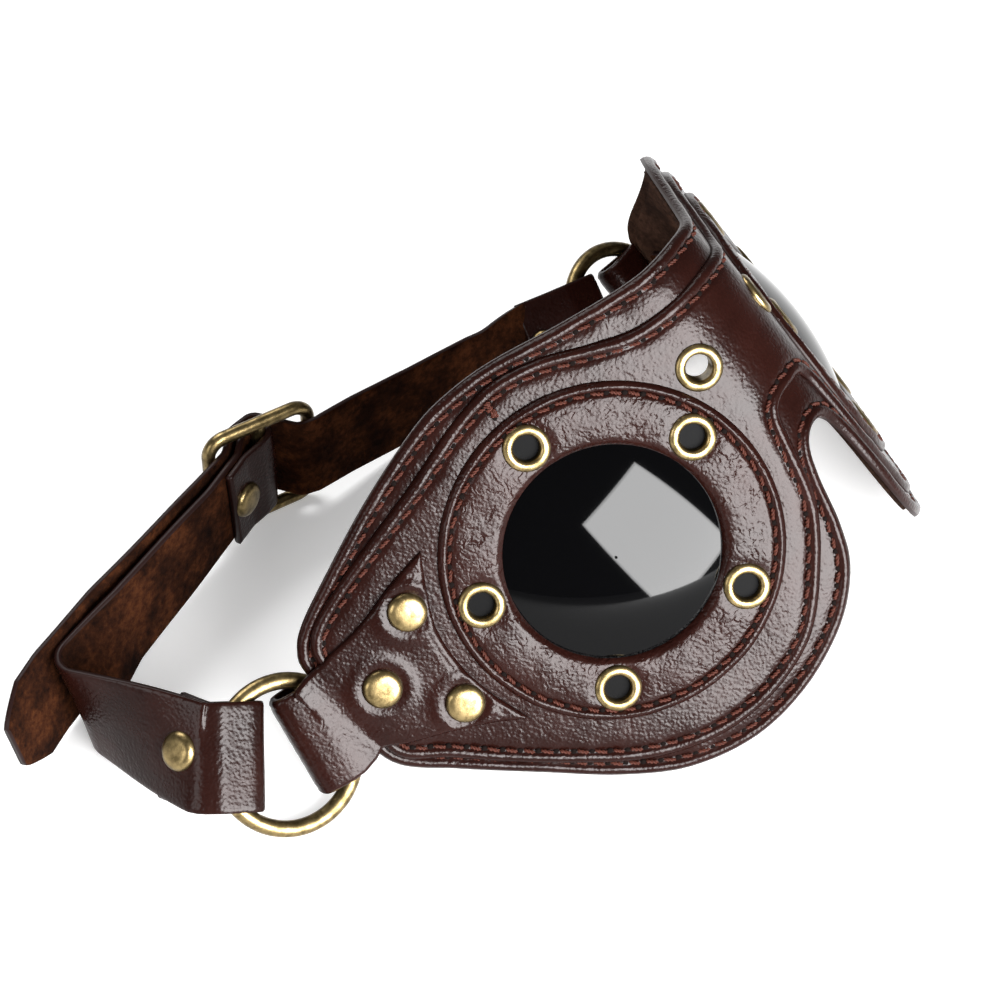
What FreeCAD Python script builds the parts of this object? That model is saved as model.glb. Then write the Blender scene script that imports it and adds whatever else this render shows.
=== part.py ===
import FreeCAD, Part
import math
import os

# Leather half-mask goggles with two round domed lenses and a buckled head strap.
# Row frame in millimetres: +Z up, X across the face, -Y towards the front.  The goggles
# lie as they rest on a table: the mask leans back on its cheek edges, the strap is behind.
# "right" is the wearer's right, on the -X side.

V = FreeCAD.Vector

# ---------------------------------------------------------------- driving dimensions
LEAN = 45.5              # how far the mask leans back from upright, degrees
HALF_ANGLE = 43.0        # each half turns back by this much at the nose, degrees
BEND_R = 16.0            # bend radius at the nose, to the outer face of the base panel
MASK_HEIGHT = 62.75      # height of the nose bridge's middle above the table
CURL_S = 75.0            # from here on the left temple curls in, pulled by the strap
CURL_R = 55.0            # to the reference surface

LINING = (-3.0, -2.0)    # layer faces, measured outwards from the reference surface
BASE = (-2.0, -0.6)
MID = (-0.6, 0.7)
PATCH = (0.7, 2.0)
TAB = (0.7, 2.3)
TAB_BACK = (-4.6, -3.0)

LINING_INSET = 1.0      # the lining stops short of the panel edge by this much

LENS_S = 48.65           # lens centre, along the leather from the mask's centre line
SIGHT_R = 20.5           # see-through hole in lining and base
LENS_R = 31.0            # lens disc
OPENING_R = 21.75        # hole in the round patch
PATCH_R = 34.5
LENS_RISE = 4.2          # how far the dome stands out of the disc
LENS_T = 1.3

EYELET_HOLE_R = 2.6
EYELET_BARREL_R = 3.1
EYELET_FLANGE_R = 4.8
EYELET_PITCH_R = 27.7    # the five eyelets of a patch stand on this circle
BRIDGE_EYELET = (13.0, 18.4)

RIVET_HEAD_R = 4.0
RIVET_HEAD_H = 1.7
RIVET_POST_R = 1.4
TAB_RIVETS = ((87.0, 17.0), (100.6, 7.9), (90.0, -5.0))

RING_R = 14.6            # ring: radius to the middle of its wire
RING_WIRE_R = 1.7

STRAP_WIDTH = 21.6
STRAP_T = 1.7
TAB_T = 1.6
LOOP_V = 2.9             # leaf middle to ring plane, where a loop holds a ring

BAR = V(-31.0, 109.3, 14.7)      # middle of the buckle's centre bar
BUCKLE_TURN = -28.0              # the buckle's heading in plan, degrees from +X
BUCKLE_HALF_LENGTH = 12.0        # centre bar to either end rail
BUCKLE_HALF_HEIGHT = 13.0        # to the middle of the top and bottom rails
BUCKLE_WIRE_R = 1.5
BUCKLE_CORNER_R = 4.0
BUCKLE_BAR_R = 1.46       # centre bar, a little thinner than the rim
PRONG_FIT = 0.1           # radial play of the prong's curl on the bar
PRONG_R = 1.1
PRONG_CURL_R = BUCKLE_BAR_R + PRONG_FIT + PRONG_R
PRONG_LENGTH = BUCKLE_HALF_LENGTH + 1.6
HOLE_R = 1.9
PRONG_LIFT = 15.0        # how far the prong lifts in its hole, degrees

# ---------------------------------------------------------------- frames
ALPHA = math.radians(HALF_ANGLE)
BEND_S = BEND_R * ALPHA          # the straight half starts here
ALONG = V(math.cos(ALPHA), math.sin(ALPHA), 0)       # towards the left temple


def to_row(shape):
    """Lean an upright mask shape back and lift it to its height over the table."""
    out = shape.copy()
    out.rotate(V(0, 0, 0), V(1, 0, 0), -LEAN)
    out.translate(V(0, 0, MASK_HEIGHT))
    return out


def row_point(p):
    """The same move as to_row, for one point or direction end."""
    c, s = math.cos(math.radians(LEAN)), math.sin(math.radians(LEAN))
    return V(p.x, c * p.y + s * p.z, -s * p.y + c * p.z + MASK_HEIGHT)


def curl_turn(s, side):
    """How far the leather has turned in beyond the straight half, in radians."""
    return (s - CURL_S) / CURL_R if side > 0 and s > CURL_S else 0.0


def half_point(s, z, out, side):
    """Point of one half of the upright mask; side -1 is the right half."""
    run = min(s, CURL_S) - BEND_S if side > 0 else s - BEND_S
    turn = curl_turn(s, side)
    p = V(0, BEND_R, 0) + ALONG * run - half_normal(1) * (CURL_R - BEND_R)
    p = p + half_normal(1, s) * (CURL_R + out) if turn else p + half_normal(1) * (CURL_R + out)
    return V(side * p.x, p.y, z)


def half_normal(side, s=0.0):
    turn = ALPHA + curl_turn(s, side)
    return V(side * math.sin(turn), -math.cos(turn), 0)


class Frame:
    """An origin and three unit directions: u in plane, w across the leather, n out of plane."""

    def __init__(self, origin, u, w):
        self.origin = origin
        self.w = V(w).normalize()
        self.u = (V(u) - self.w * V(u).dot(self.w)).normalize()
        self.n = self.u.cross(self.w)

    def at(self, u, v, across=0.0):
        return self.origin + self.u * u + self.n * v + self.w * across


# ---------------------------------------------------------------- outlines and sheets
def curve(points):
    spline = Part.BSplineCurve()
    spline.interpolate(points)
    return spline.toShape()


def flat_wire(runs, place):
    """Closed wire from runs of (s, z) points: two points make a line, more a smooth curve."""
    edges = []
    for run in runs:
        points = [place(s, z) for s, z in run]
        edges.append(Part.makeLine(points[0], points[1]) if len(points) == 2 else curve(points))
    return Part.Wire(edges)


BASE_TOP = [(0, 40), (13, 39.8), (28, 41.8), (43, 44.6), (53, 45.2), (63, 44.0), (80, 38.5),
            (97, 31.2), (105.5, 27.0)]
BASE_CORNER = [(105.5, 27.0), (109.2, 23.6), (110.6, 19.5)]
BASE_LOW = [(109.2, -6.5), (100, -16.2), (88, -27.5), (76, -38.5), (64, -46.4), (50, -49.9),
            (36, -48.2), (23, -42.4), (14.4, -34.4)]
BASE_NOSE = [(14.4, -34.4), (10.2, -25.5), (7.4, -15.0), (4.4, -8.6), (0, -6.7)]

MID_TOP = [(0, 32), (10, 31.7), (18.5, 32.4), (27, 35.6), (36, 39.6), (46, 41.7), (57, 40.2),
           (72, 35.6), (89, 31.0), (101, 27.0)]
MID_CORNER = [(101, 27.0), (105.6, 24.0), (107.4, 20.0)]
MID_LOW = [(107.6, -5.4), (99.8, -12.6), (92, -20.4), (82, -29.4), (71, -38.0), (60, -43.2),
           (49.5, -45.0), (38.5, -43.7), (27.6, -38.8), (17.5, -28.0)]
MID_NOSE = [(17.5, -28.0), (11.2, -18.0), (8.4, -7.8), (6.4, 0.2), (3.6, 2.5), (0, 2.8)]

TAB_TOP = [(77.4, 24.6), (86, 23.2), (96, 20.6), (110.4, 20.0)]
TAB_LOW = [(110.4, -3.0), (100, -6.2), (91, -10.4), (82.2, -16.2)]
TAB_HOLLOW = [(82.2, -16.2), (85.1, -6.0), (85.9, 2.5), (84.3, 12.0), (77.4, 24.6)]


def inset(runs, amount):
    """The same runs moved towards the middle of the half, for the smaller lining."""
    centre_s, centre_z = 52.0, -2.0
    half_length, half_height = 57.0, 47.0
    moved = []
    for run in runs:
        moved.append([(s if s == 0 else s - amount * (s - centre_s) / half_length,
                       z - amount * (z - centre_z) / half_height) for s, z in run])
    return moved


def bridge_x(s):
    """Sideways distance of a point of the reference surface from the mask's middle."""
    if s < BEND_S:
        return BEND_R * math.sin(s / BEND_R)
    return BEND_R * math.sin(ALPHA) + (s - BEND_S) * math.cos(ALPHA)


def half_space(s, side, beyond):
    """A big block on the nose side of station s of one half, or on the temple side beyond it."""
    block = Part.makeBox(160, 60, 160, V(0 if beyond else -160, -30, -80))
    block.rotate(V(0, 0, 0), V(0, 0, 1), HALF_ANGLE)
    block.translate(half_point(s, 0, 0, 1))
    return block if side > 0 else block.mirror(V(0, 0, 0), V(1, 0, 0))


def leaf(runs, faces, side):
    """One half's leather between two faces: flat, and on the left curled at the temple."""
    inner, outer = faces
    closed = runs if runs[-1][-1] == runs[0][0] else runs + [[runs[-1][-1], runs[0][0]]]
    first = min(s for run in closed for s, z in run)
    parts = []
    if side < 0 or first < CURL_S:
        wire = flat_wire(closed, lambda s, z: flat_point(s, z, inner, side))
        flat = Part.Face(wire).extrude(half_normal(side) * (outer - inner))
        flat = flat.common(half_space(BEND_S, side, True)) if first < BEND_S else flat
        parts.append(flat.common(half_space(CURL_S, side, False)) if side > 0 else flat)
    if side > 0:
        aim = half_normal(1, (CURL_S + 112.0) / 2)
        wire = flat_wire(closed, lambda s, z: off_plane(half_point(s, z, 0, 1), aim))
        prism = Part.Face(wire).extrude(aim * 120)
        parts.append(curl_sector(inner, outer).common(prism))
    return parts[0] if len(parts) == 1 else parts[0].fuse(parts[1]).removeSplitter()


def flat_point(s, z, out, side):
    """half_point without the curl."""
    p = V(0, BEND_R, 0) + ALONG * (s - BEND_S) + half_normal(1) * (BEND_R + out)
    return V(side * p.x, p.y, z)


def off_plane(p, aim):
    """A point moved along aim on to a plane well inside the mask."""
    return p - aim * (p.dot(aim) + 40)


def curl_sector(inner, outer):
    """The cylindrical shell the left temple follows, from its straight part to past its end."""
    hub = half_point(CURL_S, 0, -CURL_R, 1)
    low = hub - V(0, 0, 80)
    sector = Part.makeCylinder(CURL_R + outer, 160, low, V(0, 0, 1), 60)
    sector = sector.cut(Part.makeCylinder(CURL_R + inner, 160, low))
    sector.rotate(hub, V(0, 0, 1), HALF_ANGLE - 90)
    return sector


def sheet(runs, faces):
    """One bent leather layer: two halves joined by the curved bridge of the nose."""
    inner, outer = faces
    closed = runs + [[runs[-1][-1], runs[0][0]]]
    parts = []
    for side in (-1, 1):
        parts.append(leaf(runs, faces, side))
        wire = flat_wire(closed, lambda s, z: V(side * bridge_x(s), -20, z))
        prism = Part.Face(wire).extrude(V(0, 60, 0))
        parts.append(bend_sector(inner, outer, 160.0, side).common(prism))
    return parts[0].fuse(parts[1:]).removeSplitter()


def bend_sector(inner, outer, tall, side):
    """The curved shell over the nose, on one side of the mask's middle."""
    sector = Part.makeCylinder(BEND_R + outer, tall, V(0, BEND_R, -tall / 2), V(0, 0, 1), HALF_ANGLE)
    sector = sector.cut(Part.makeCylinder(BEND_R + inner, tall, V(0, BEND_R, -tall / 2)))
    start = -90 if side > 0 else -90 - HALF_ANGLE
    sector.rotate(V(0, BEND_R, 0), V(0, 0, 1), start)
    return sector


def post(s, z, radius, faces, side):
    """A round bar square to one half, between two heights over the reference surface."""
    start = half_point(s, z, faces[0], side)
    return Part.makeCylinder(radius, faces[1] - faces[0], start, half_normal(side, s))


def both(make):
    return [make(-1), make(1)]


def cut_all(shape, tools):
    return shape.cut(Part.makeCompound(tools))


def revolve(profile, s, z, side):
    """Turn a closed (radius, height) profile about a half's normal at (s, z)."""
    base = half_point(s, z, 0, side)
    normal = half_normal(side, s)
    up = V(0, 0, 1)
    wire = Part.makePolygon([base + up * r + normal * h for r, h in profile + profile[:1]])
    return Part.Face(wire).revolve(base, normal, 360)


# ---------------------------------------------------------------- mask leather
def sheet_holes(faces, sight_r):
    reach = (faces[0] - 1, faces[1] + 1)
    tools = both(lambda side: post(LENS_S, 0, sight_r, reach, side))
    tools += both(lambda side: post(*BRIDGE_EYELET, EYELET_BARREL_R, reach, side))
    for s, z in TAB_RIVETS:
        tools += both(lambda side: post(s, z, RIVET_POST_R, reach, side))
    return tools


def layer(top, corner, low, nose):
    return [top, corner, [corner[-1], low[0]], low, nose]


def base_panel():
    panel = sheet(layer(BASE_TOP, BASE_CORNER, BASE_LOW, BASE_NOSE), BASE)
    return cut_all(panel, sheet_holes(BASE, SIGHT_R))


def lining():
    runs = inset(layer(BASE_TOP, BASE_CORNER, BASE_LOW, BASE_NOSE), LINING_INSET)
    return cut_all(sheet(runs, LINING), sheet_holes(LINING, SIGHT_R))


def mid_panel():
    panel = sheet(layer(MID_TOP, MID_CORNER, MID_LOW, MID_NOSE), MID)
    return cut_all(panel, sheet_holes(MID, LENS_R + 0.1))


def eyelet_places():
    """The five eyelets of a lens patch, a pentagon that stands on its side towards the nose."""
    places = []
    for k in range(5):
        turn = math.radians(90 + 72 * k)
        places.append((LENS_S - EYELET_PITCH_R * math.cos(turn), EYELET_PITCH_R * math.sin(turn)))
    return places


def lens_patch(side):
    patch = post(LENS_S, 0, PATCH_R, PATCH, side)
    tools = [post(LENS_S, 0, OPENING_R, (0, 3), side)]
    for s, z in eyelet_places():
        tools.append(post(s, z, EYELET_BARREL_R, (0, 3), side))
    return cut_all(patch, tools)


def lens(side):
    """A flat rim that lies under the patch, with a domed middle that stands out of it."""
    dome_r = OPENING_R - 0.3
    ball_r = (dome_r ** 2 + LENS_RISE ** 2) / (2 * LENS_RISE)
    disc = post(LENS_S, 0, LENS_R, MID, side)
    centre = half_point(LENS_S, 0, MID[1] + LENS_RISE - ball_r, side)
    reach = post(LENS_S, 0, dome_r, (MID[1] - 0.2, MID[1] + LENS_RISE + 1), side)
    dome = Part.makeSphere(ball_r, centre).common(reach)
    hollow = Part.makeSphere(ball_r - LENS_T, centre)
    hollow = hollow.common(post(LENS_S, 0, dome_r - 2, (MID[0] - 0.1, MID[1] + LENS_RISE), side))
    return disc.fuse(dome).cut(hollow).removeSplitter()


def eyelet(s, z, low, top, side):
    """A barrel with a rolled flange on the outside; top is the leather face it sits on."""
    r, b, f = EYELET_HOLE_R, EYELET_BARREL_R, EYELET_FLANGE_R
    profile = [(r, low), (b, low), (b, top), (f, top), (f - 0.15, top + 0.5), (f - 0.9, top + 0.95),
               (b + 0.2, top + 0.95), (r, top + 0.3)]
    return revolve(profile, s, z, side)


def patch_eyelets(side):
    rings = [eyelet(s, z, PATCH[0] + 0.05, PATCH[1], side) for s, z in eyelet_places()]
    return Part.makeCompound(rings)


def bridge_eyelets():
    return Part.makeCompound(both(lambda side: eyelet(*BRIDGE_EYELET, LINING[0] - 0.6, MID[1], side)))


def bridge_washers():
    """Flat washers behind the lining, over which the bridge eyelets are set."""
    r, f, back = EYELET_BARREL_R, EYELET_FLANGE_R - 0.3, LINING[0]
    profile = [(r, back), (f, back), (f - 0.3, back - 0.5), (r, back - 0.5)]
    return Part.makeCompound(both(lambda side: revolve(profile, *BRIDGE_EYELET, side)))


# ---------------------------------------------------------------- strap tabs
def strap_tab(side):
    """The riveted, trident-shaped front leaf and the plain back leaf inside the mask."""
    front = leaf([TAB_TOP, [TAB_TOP[-1], TAB_LOW[0]], TAB_LOW, TAB_HOLLOW], TAB, side)
    corners = [(95.0, -3.5), (106.0, -1.5), (104.6, 17.6), (93.0, 15.2), (95.0, -3.5)]
    back = leaf([list(pair) for pair in zip(corners, corners[1:])], TAB_BACK, side)
    tools = [post(s, z, RIVET_POST_R, (-6, 4), side) for s, z in TAB_RIVETS]
    return Part.makeCompound([cut_all(front, tools), cut_all(back, tools)])


def rivet_profile(low, top, back=1.1):
    """Half section of a two-piece rivet with domed caps outside its two leather faces."""
    p, r, h = RIVET_POST_R, RIVET_HEAD_R, RIVET_HEAD_H
    cap = r - 0.4
    return [(0, low - back), (cap - 1.2, low - 0.8 * back), (cap, low - 0.2), (cap, low), (p, low),
            (p, top), (r, top), (r, top + 0.5), (r - 0.7, top + 1.1), (r - 2.2, top + 1.5), (0, top + h)]


def tab_rivets(side):
    rivets = []
    for k, (s, z) in enumerate(TAB_RIVETS):
        low = (TAB_BACK[0] if k == 1 else LINING[0]) - 0.15
        rivets.append(revolve(rivet_profile(low, TAB[1]), s, z, side))
    return Part.makeCompound(rivets)


# ---------------------------------------------------------------- leather ribbons
def rounded(points, across, radii, steps=6):
    """Stations (point, across) along a polyline whose inner corners become arcs."""
    stations = [(points[0], across[0])]
    for k in range(1, len(points) - 1):
        p, r = points[k], radii[k - 1]
        a, b = (points[k - 1] - p).normalize(), (points[k + 1] - p).normalize()
        half = math.acos(max(-1.0, min(1.0, a.dot(b)))) / 2
        cut = r / math.tan(half)
        centre = p + (a + b).normalize() * (r / math.sin(half))
        start = p + a * cut - centre
        side = (a + b).normalize() * -1
        flat = (start - side * start.dot(side)).normalize()
        sweep = math.pi / 2 - half
        for i in range(steps + 1):
            turn = sweep * (2 * i / steps - 1)
            spot = centre + side * (r * math.cos(turn)) - flat * (r * math.sin(turn))
            if (spot - stations[-1][0]).Length > 0.05:
                stations.append((spot, across[k]))
    stations.append((points[-1], across[-1]))
    return stations


def ribbon(points, across, radii, width, thickness, steps=6, end_width=None):
    """A flat strip of leather along a rounded route, lofted through its cross-sections."""
    stations = rounded(points, across, radii, steps)
    wires = []
    for k, (p, w) in enumerate(stations):
        before, after = stations[max(k - 1, 0)][0], stations[min(k + 1, len(stations) - 1)][0]
        along = (after - before).normalize()
        wide = end_width if end_width and k == len(stations) - 1 else width
        w = (w - along * w.dot(along)).normalize() * (wide / 2)
        n = along.cross(w).normalize() * (thickness / 2)
        wires.append(Part.makePolygon([p + w + n, p - w + n, p - w - n, p + w - n, p + w + n]))
    strip = Part.makeLoft(wires, True, True)
    if strip.Volume < 0:
        strip.reverse()
    return strip


# ---------------------------------------------------------------- rings and their loops
RIGHT_RING_AT = V(-93.5, 62.2, 12.7)
RIGHT_TAB = Frame(RIGHT_RING_AT, V(0.938, -0.339, 0.064), V(0.184, 0.648, 0.738))
RIGHT_STRAP = Frame(RIGHT_RING_AT, V(-0.711, 0.626, 0.321), V(0.640, 0.389, 0.662))
LEFT_RING_AT = V(54.5, 66.0, 12.2)
LEFT_TAB = Frame(LEFT_RING_AT, V(0.995, -0.07, 0.07), V(0.0, 0.714, 0.70))
LEFT_STRAP = Frame(LEFT_RING_AT, V(-0.935, 0.31, 0.17), V(0.34, 0.647, 0.68))


def ring(frame):
    return Part.makeTorus(RING_R, RING_WIRE_R, frame.origin, frame.n)


def right_tab_loop():
    """The tab's end, from beyond the mask's edge round the ring's wire and back under it."""
    f = RIGHT_TAB
    points = [f.at(8.6, 5.4), f.at(2.2, 2.8), f.at(3.2, -LOOP_V), f.at(15.0, -LOOP_V)]
    return ribbon(points, [f.w] * 4, [2.3, 2.3], STRAP_WIDTH, TAB_T)


LOOP_CENTRING = 0.35       # how far off the ring's middle the left loop stays, as a share


def left_tab_loop():
    """The other tab's end, which the strap pulls round behind the curled temple."""
    f = LEFT_TAB
    middle = (TAB[0] + TAB[1]) / 2
    edge = row_point(half_point(112.6, 9.0, middle, 1))
    low = (edge - f.origin).dot(f.w)
    middle_low = low * LOOP_CENTRING
    points = [edge, f.at((edge - f.origin).dot(f.u) + 0.6, -LOOP_V, low),
              f.at(1.8, -LOOP_V, middle_low), f.at(1.8, LOOP_V, middle_low),
              f.at(12.0, LOOP_V, middle_low)]
    return ribbon(points, [f.w] * 5, [1.4, 2.7, 2.7], STRAP_WIDTH, TAB_T)


# ---------------------------------------------------------------- buckle
HEADING = V(math.cos(math.radians(BUCKLE_TURN)), math.sin(math.radians(BUCKLE_TURN)), 0)
OUTWARD = V(-HEADING.y, HEADING.x, 0)


def buckle_at(h, q, z=0.0):
    """A point by its place along the buckle, outwards from its centre bar, and upwards."""
    return BAR + HEADING * h + OUTWARD * q + V(0, 0, z)


def buckle_frame():
    """A rounded rectangle of round wire with a centre bar."""
    across, up = BUCKLE_HALF_LENGTH - BUCKLE_CORNER_R, BUCKLE_HALF_HEIGHT - BUCKLE_CORNER_R
    pieces = [Part.makeCylinder(BUCKLE_BAR_R, 2 * BUCKLE_HALF_HEIGHT,
                                buckle_at(0, 0, -BUCKLE_HALF_HEIGHT), V(0, 0, 1))]
    for end in (1, -1):
        level = buckle_at(-across, 0, end * BUCKLE_HALF_HEIGHT)
        pieces.append(Part.makeCylinder(BUCKLE_WIRE_R, 2 * across, level, HEADING))
        upright = buckle_at(end * BUCKLE_HALF_LENGTH, 0, -up)
        pieces.append(Part.makeCylinder(BUCKLE_WIRE_R, 2 * up, upright, V(0, 0, 1)))
        for side in (1, -1):
            start = buckle_at(side * across, 0, end * BUCKLE_HALF_HEIGHT)
            section = Part.Face(Part.Wire(Part.makeCircle(BUCKLE_WIRE_R, start, HEADING)))
            centre = buckle_at(side * across, 0, end * up)
            pieces.append(section.revolve(centre, OUTWARD * (side * end), 90))
    return pieces[0].fuse(pieces[1:]).removeSplitter()


def buckle_prong():
    """A tongue curled round the centre bar, its tip on the end rail."""
    curl = Part.makeTorus(PRONG_CURL_R, PRONG_R, BAR, V(0, 0, 1))
    shaft = Part.makeCylinder(PRONG_R, PRONG_LENGTH, buckle_at(0, PRONG_CURL_R), HEADING)
    tip = Part.makeSphere(PRONG_R, buckle_at(PRONG_LENGTH, PRONG_CURL_R))
    return curl.fuse([shaft, tip])


# ---------------------------------------------------------------- straps
UPRIGHT = V(0, 0, 1)


def strap_rivet(p, normal, low, top, back=1.1):
    """A rivet of the tab's kind, square to a strap at a point of its front leaf."""
    rivet = revolve_plain(rivet_profile(low, top, back))
    rivet.Placement = FreeCAD.Placement(p, FreeCAD.Rotation(V(0, 0, 1), normal))
    return rivet


def rivet_hole(p, normal, depth):
    """The hole a rivet's post fills, from above its leaf to depth below the leaf's middle."""
    axis = V(normal).normalize()
    return Part.makeCylinder(RIVET_POST_R, depth + 2.0, p - axis * depth, axis)


def revolve_plain(profile):
    wire = Part.makePolygon([V(r, 0, h) for r, h in profile + profile[:1]])
    return Part.Face(wire).revolve(V(0, 0, 0), V(0, 0, 1), 360)


LEAF_GAP = 0.95          # half the distance between two leaves' middles where they are riveted


class Seam:
    """Where the two leaves round a ring meet, are riveted and run on towards a target."""

    def __init__(self, frame, main_side, shift, target):
        knee = 18.5
        self.corner = frame.at(knee, main_side * LEAF_GAP)
        run = (target - self.corner).normalize()
        self.fold_corner = frame.at(knee + shift, -main_side * LEAF_GAP)
        self.fold_end = self.fold_corner + run * 8.5
        self.normal = run.cross(frame.w).normalize()
        if self.normal.dot(frame.n) * main_side < 0:
            self.normal = self.normal * -1
        self.rivet = self.corner + run * 5.0


RIGHT_SEAM = Seam(RIGHT_STRAP, -1, -1.2, V(-103.6, 108.0, 11.3))
LEFT_SEAM = Seam(LEFT_STRAP, 1, 0.45, V(21.0, 85.0, 11.4))
CHAPE_RIVET_AT = V(-40.4, 107.7, 14.3)
CHAPE_DEPTH = -2.75


def buckle_strap():
    """The short strap: looped on the right ring, bent sharply, looped on the buckle's bar."""
    f = RIGHT_STRAP
    points = [RIGHT_SEAM.fold_end, RIGHT_SEAM.fold_corner, f.at(15.0, LOOP_V), f.at(6.05, LOOP_V),
              f.at(6.05, -LOOP_V), f.at(15.0, -LOOP_V), RIGHT_SEAM.corner, V(-103.6, 108.0, 11.3), V(-80, 109.6, 12.0),
              V(-50, 109.3, 13.6), V(-38.5, 109.6, 14.4), V(-33.5, 111.75, 14.7),
              V(-28.55, 111.75, 14.7), V(-28.55, 106.85, 14.7), V(-33.5, 106.85, 14.7),
              V(-38.2, 107.75, 14.4), V(-44.5, 107.5, 14.0)]
    across = [f.w] * 7 + [V(0.1, 0.40, 0.91), V(0, 0.12, 0.99), UPRIGHT, UPRIGHT,
              UPRIGHT, UPRIGHT, UPRIGHT, UPRIGHT, UPRIGHT, UPRIGHT]
    radii = [1.5, 2.5, 2.7, 2.7, 2.5, 3.2, 6.5, 10, 10, 4, 3, 2.45, 2.45, 3, 4]
    strap = ribbon(points, across, radii, STRAP_WIDTH, STRAP_T)
    slot = Part.makeBox(8.0, 9.0, 3.0, V(-35.5, 105.0, BAR.z - 1.5))
    return strap.cut(slot)


def long_strap():
    """The long strap: looped on the left ring, threaded through the buckle, with a pointed end."""
    f = LEFT_STRAP
    points = [LEFT_SEAM.fold_end, LEFT_SEAM.fold_corner, f.at(15.0, -LOOP_V), f.at(6.05, -LOOP_V),
              f.at(6.05, LOOP_V), f.at(15.0, LOOP_V), LEFT_SEAM.corner, V(21.0, 85.0, 11.4),
              V(1, 93.8, 12.4), V(-12, 98.0, 13.9), buckle_at(12.0, -3.1), buckle_at(8.3, -2.6),
              V(-27.0, 113.6, 14.7), V(-33.5, 114.7, 14.7), V(-39.5, 111.9, 14.7),
              V(-62, 112.4, 14.0), V(-85, 113.2, 12.8), V(-103, 112.8, 11.9), V(-110, 111.9, 11.6),
              V(-118, 110.7, 11.4)]
    lean = [f.w] * 7 + [V(0, 0.12, 0.99)] + [UPRIGHT] * 7
    lean += [V(0, 0.05, 1), V(0, 0.15, 1), V(0, 0.2, 1), V(0, 0.2, 1), V(0, 0.2, 1)]
    radii = [3, 2.5, 2.7, 2.7, 2.5, 3, 20, 15, 12, 2, 2.2, 2.4, 3.5, 3.5, 15, 15, 15, 10]
    strap = ribbon(points, lean, radii, STRAP_WIDTH, STRAP_T, end_width=9.0)
    tools = []
    for lift in (0, PRONG_LIFT / 2, PRONG_LIFT):
        bore = Part.makeCylinder(HOLE_R, 9.0, buckle_at(1.5, PRONG_CURL_R), HEADING)
        bore.rotate(BAR, V(0, 0, 1), lift)
        tools.append(bore)
    for x in (-3.0, 9.0, 21.0):
        tools.append(Part.makeCylinder(1.2, 30, V(x, 75, 15.0), V(0.4, 0.92, 0)))
    for x in (-58.0, -70.0, -82.0):
        tools.append(Part.makeCylinder(1.2, 4, V(x, 111, 13.8), V(0, 1, 0)))
    return strap.cut(Part.makeCompound(tools))


# ---------------------------------------------------------------- hand over
def mask_nodes():
    nodes = {"lining": lining(), "base_panel": base_panel(), "mid_panel": mid_panel(),
             "bridge_eyelets": bridge_eyelets(), "bridge_washers": bridge_washers()}
    for name, side in (("right", -1), ("left", 1)):
        nodes[name + "_lens"] = lens(side)
        nodes[name + "_lens_patch"] = lens_patch(side)
        nodes[name + "_patch_eyelets"] = patch_eyelets(side)
        nodes[name + "_strap_tab"] = strap_tab(side)
        nodes[name + "_tab_rivets"] = tab_rivets(side)
    return {name: to_row(shape) for name, shape in nodes.items()}


def strap_nodes():
    leaf_half = STRAP_T / 2
    rivet_low = -2 * LEAF_GAP - leaf_half
    rivets = {"right_ring_rivet": strap_rivet(RIGHT_SEAM.rivet, RIGHT_SEAM.normal, rivet_low, leaf_half),
              "chape_rivet": strap_rivet(CHAPE_RIVET_AT, V(0, -1, 0), CHAPE_DEPTH, leaf_half, 0.4),
              "left_ring_rivet": strap_rivet(LEFT_SEAM.rivet, LEFT_SEAM.normal, rivet_low, leaf_half)}
    near = buckle_strap()
    near = near.cut(rivet_hole(RIGHT_SEAM.rivet, RIGHT_SEAM.normal, 4.0))
    near = near.cut(rivet_hole(CHAPE_RIVET_AT, V(0, -1, 0), 5.0))
    far = long_strap().cut(rivet_hole(LEFT_SEAM.rivet, LEFT_SEAM.normal, 4.0))
    nodes = {"right_ring": ring(RIGHT_TAB), "left_ring": ring(LEFT_TAB),
             "right_tab_loop": right_tab_loop(), "left_tab_loop": left_tab_loop(),
             "buckle_strap": near, "long_strap": far,
             "buckle_frame": buckle_frame(), "buckle_prong": buckle_prong()}
    nodes.update(rivets)
    return nodes


def main():
    os.makedirs("parts", exist_ok=True)
    nodes = mask_nodes()
    nodes.update(strap_nodes())
    box = Part.makeCompound(list(nodes.values())).optimalBoundingBox()
    shift = V(-(box.XMin + box.XMax) / 2, -(box.YMin + box.YMax) / 2, -box.ZMin)
    for name, shape in nodes.items():
        shape.translate(shift)
        shape.exportStep("parts/" + name + ".step")
        print(name, shape.isValid(), len(shape.Solids), round(shape.Volume, 1))
    print("moved by", shift, "size", box.XLength, box.YLength, box.ZLength)


main()
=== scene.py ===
import math

import bpy
import numpy as np
from mathutils import Matrix, Vector, geometry


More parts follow.
